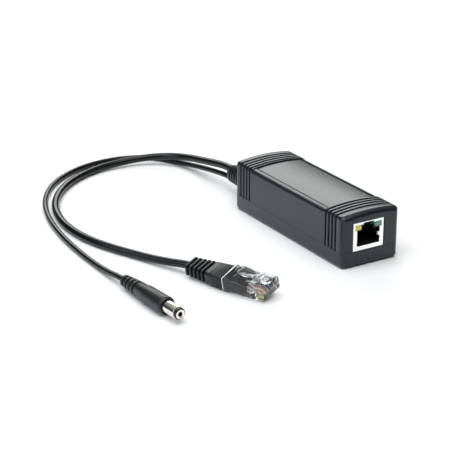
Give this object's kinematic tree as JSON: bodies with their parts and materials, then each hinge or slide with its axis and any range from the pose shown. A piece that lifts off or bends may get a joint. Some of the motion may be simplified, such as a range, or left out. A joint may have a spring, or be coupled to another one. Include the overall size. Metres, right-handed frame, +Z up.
{
  "type": "power-over-ethernet splitter",
  "caption": "Small oblong plastic case with a network socket at one end and, out of a ribbed strain relief at the other, short leads to a modular network plug and a round DC plug.",
  "frame": {"origin": "middle of the case's underside", "axes": "+X along the case towards the socket, +Y to the left of it, +Z up"},
  "size_m": [0.1871, 0.1211, 0.025],
  "materials": {
    "case_plastic": "fine matte moulded texture",
    "black_rubber": "satin flexible PVC",
    "circuit_board": "solder mask",
    "black_package": "moulded epoxy",
    "capacitor_sleeve": "shrink sleeve over an aluminium can",
    "ferrite": "sintered ferrite",
    "winding": "enamelled copper wire under clear tape",
    "nickel": "nickel plate",
    "gold": "gold plate",
    "clear_plastic": "clear polycarbonate",
    "yellow_lens": "translucent lens",
    "green_lens": "translucent lens",
    "red_insulation": "wire insulation",
    "black_insulation": "wire insulation",
    "orange_insulation": "wire insulation",
    "green_insulation": "wire insulation",
    "blue_insulation": "wire insulation",
    "brown_insulation": "wire insulation"
  },
  "bodies": {
    "splitter": {"upper_case": "case_plastic", "lower_case": "case_plastic", "cable_gland": "black_rubber", "network_cord": "black_rubber", "dc_cord": "black_rubber", "plug_boot": "black_rubber", "dc_grip": "black_rubber", "circuit_board": "circuit_board", "data_transformer": "black_package", "bridge_rectifier_1": "black_package", "bridge_rectifier_2": "black_package", "power_controller_chip": "black_package", "switching_controller_chip": "black_package", "output_diode": "black_package", "transformer_bobbin": "black_package", "jack_housing": "black_package", "dc_insulator": "black_package", "input_capacitor": "capacitor_sleeve", "output_capacitor": "capacitor_sleeve", "transformer_core": "ferrite", "power_inductor": "ferrite", "transformer_winding": "winding", "jack_shield": "nickel", "dc_sleeve": "nickel", "dc_centre_contact": "nickel", "plug_contact_1": "gold", "plug_contact_2": "gold", "plug_contact_3": "gold", "plug_contact_4": "gold", "plug_contact_5": "gold", "plug_contact_6": "gold", "plug_contact_7": "gold", "plug_contact_8": "gold", "plug_body": "clear_plastic", "led_yellow": "yellow_lens", "led_green": "green_lens", "dc_wire_positive": "red_insulation", "dc_wire_negative": "black_insulation", "network_pair_orange": "orange_insulation", "plug_wire_1": "orange_insulation", "plug_wire_2": "orange_insulation", "network_pair_green": "green_insulation", "plug_wire_3": "green_insulation", "plug_wire_6": "green_insulation", "network_pair_blue": "blue_insulation", "plug_wire_4": "blue_insulation", "plug_wire_5": "blue_insulation", "network_pair_brown": "brown_insulation", "plug_wire_7": "brown_insulation", "plug_wire_8": "brown_insulation"},
    "plug_latch_arm": {"plug_latch": "clear_plastic"},
    "jack_contact_row": {"jack_contact_1": "gold", "jack_contact_2": "gold", "jack_contact_3": "gold", "jack_contact_4": "gold", "jack_contact_5": "gold", "jack_contact_6": "gold", "jack_contact_7": "gold", "jack_contact_8": "gold"}
  },
  "joints": [
    {"name": "plug_latch_hinge", "type": "hinge", "parent": "splitter", "child": "plug_latch_arm", "pos_m": [0.05229, -0.05795, 0.00823], "axis": [0.3909, -0.8946, -0.2164], "range_deg": [0, 6], "stiffness_Nm_per_rad": 0.1},
    {"name": "jack_contacts_flex", "type": "hinge", "parent": "splitter", "child": "jack_contact_row", "pos_m": [0.0416, -0.0013, 0.0098], "axis": [0, -1, 0], "range_deg": [0, 7], "stiffness_Nm_per_rad": 0.1}
  ]
}
